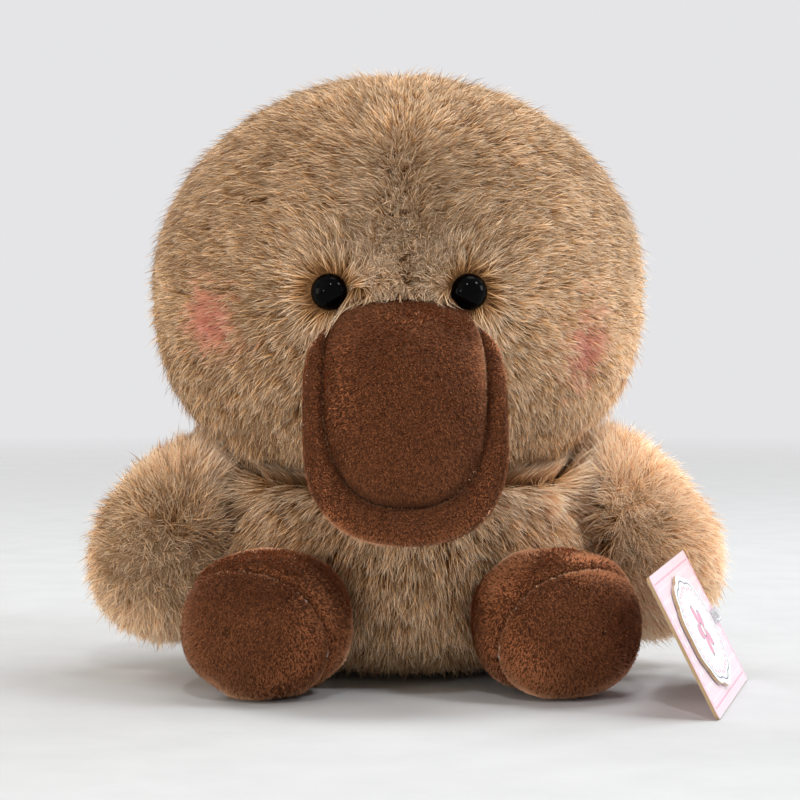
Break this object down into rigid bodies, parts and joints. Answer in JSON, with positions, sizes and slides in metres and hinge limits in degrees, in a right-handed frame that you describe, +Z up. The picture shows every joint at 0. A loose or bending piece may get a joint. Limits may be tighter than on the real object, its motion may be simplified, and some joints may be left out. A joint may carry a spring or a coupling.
{
  "type": "plush toy",
  "caption": "Seated stuffed animal with a round furry head, broad drooping bill, bead eyes, paddle arms, short-pile feet, flat tail and a card hang tag.",
  "frame": {"origin": "centre of the flat seat under the body, on the surface that the toy sits on", "axes": "+Z up through the head, -Y out of the face, +X towards the toy's own left hand"},
  "size_m": [0.2274, 0.244, 0.2106],
  "materials": {
    "plush_fur": "long pile, matte",
    "brown_velboa": "short pile, matte with a soft sheen",
    "eye_black": "polished",
    "washer_white": "moulded",
    "stuffing_white": "loose fibre",
    "pouch_cloth": "plain weave",
    "tag_pink": "laminated card",
    "tag_white": "laminated card",
    "pin_clear": "clear moulded nylon"
  },
  "bodies": {
    "body": {"body_front": "plush_fur", "body_back_left": "plush_fur", "body_back_right": "plush_fur", "body_base": "plush_fur", "body_fill": "stuffing_white", "pellet_pouch": "pouch_cloth"},
    "head": {"head_front_left": "plush_fur", "head_front_right": "plush_fur", "head_back_left": "plush_fur", "head_back_right": "plush_fur", "head_fill": "stuffing_white", "eye_left": "eye_black", "eye_washer_left": "washer_white", "eye_right": "eye_black", "eye_washer_right": "washer_white", "bill_top": "brown_velboa", "bill_under": "brown_velboa", "bill_rim": "brown_velboa", "bill_fill": "stuffing_white"},
    "arm_left": {"arm_left_front": "plush_fur", "arm_left_back": "plush_fur", "arm_left_fill": "stuffing_white", "tag_pin": "pin_clear"},
    "arm_right": {"arm_right_front": "plush_fur", "arm_right_back": "plush_fur", "arm_right_fill": "stuffing_white"},
    "foot_left": {"foot_left_sole": "brown_velboa", "foot_left_upper": "brown_velboa", "foot_left_fill": "stuffing_white"},
    "foot_right": {"foot_right_sole": "brown_velboa", "foot_right_upper": "brown_velboa", "foot_right_fill": "stuffing_white"},
    "tail": {"tail_top": "brown_velboa", "tail_under": "brown_velboa", "tail_fill": "stuffing_white"},
    "tag": {"tag_card": "tag_pink", "tag_board": "tag_white"}
  },
  "joints": [
    {"name": "head_turn", "type": "hinge", "parent": "body", "child": "head", "pos_m": [-0.003, 0, 0.07015], "axis": [0, 0, 1], "range_deg": [-15, 15]},
    {"name": "arm_left_swing", "type": "hinge", "parent": "body", "child": "arm_left", "pos_m": [0.06765, -0.006, 0.054], "axis": [-1, 0, 0], "range_deg": [0, 35]},
    {"name": "arm_right_swing", "type": "hinge", "parent": "body", "child": "arm_right", "pos_m": [-0.06765, -0.006, 0.054], "axis": [-1, 0, 0], "range_deg": [-15, 35]},
    {"name": "foot_left_lift", "type": "hinge", "parent": "body", "child": "foot_left", "pos_m": [0.03812, -0.04613, 0.0408], "axis": [-0.8829, -0.4695, 0], "range_deg": [0, 20]},
    {"name": "foot_right_lift", "type": "hinge", "parent": "body", "child": "foot_right", "pos_m": [-0.03812, -0.04613, 0.0408], "axis": [-0.8829, 0.4695, 0], "range_deg": [0, 20]},
    {"name": "tail_lift", "type": "hinge", "parent": "body", "child": "tail", "pos_m": [0, 0.0549, 0.0226], "axis": [1, 0, 0], "range_deg": [0, 30]},
    {"name": "tag_swing", "type": "hinge", "parent": "arm_left", "child": "tag", "pos_m": [0.10504, -0.03558, 0.02252], "axis": [-0.8645, 0.2156, -0.454], "range_deg": [0, 12]}
  ]
}
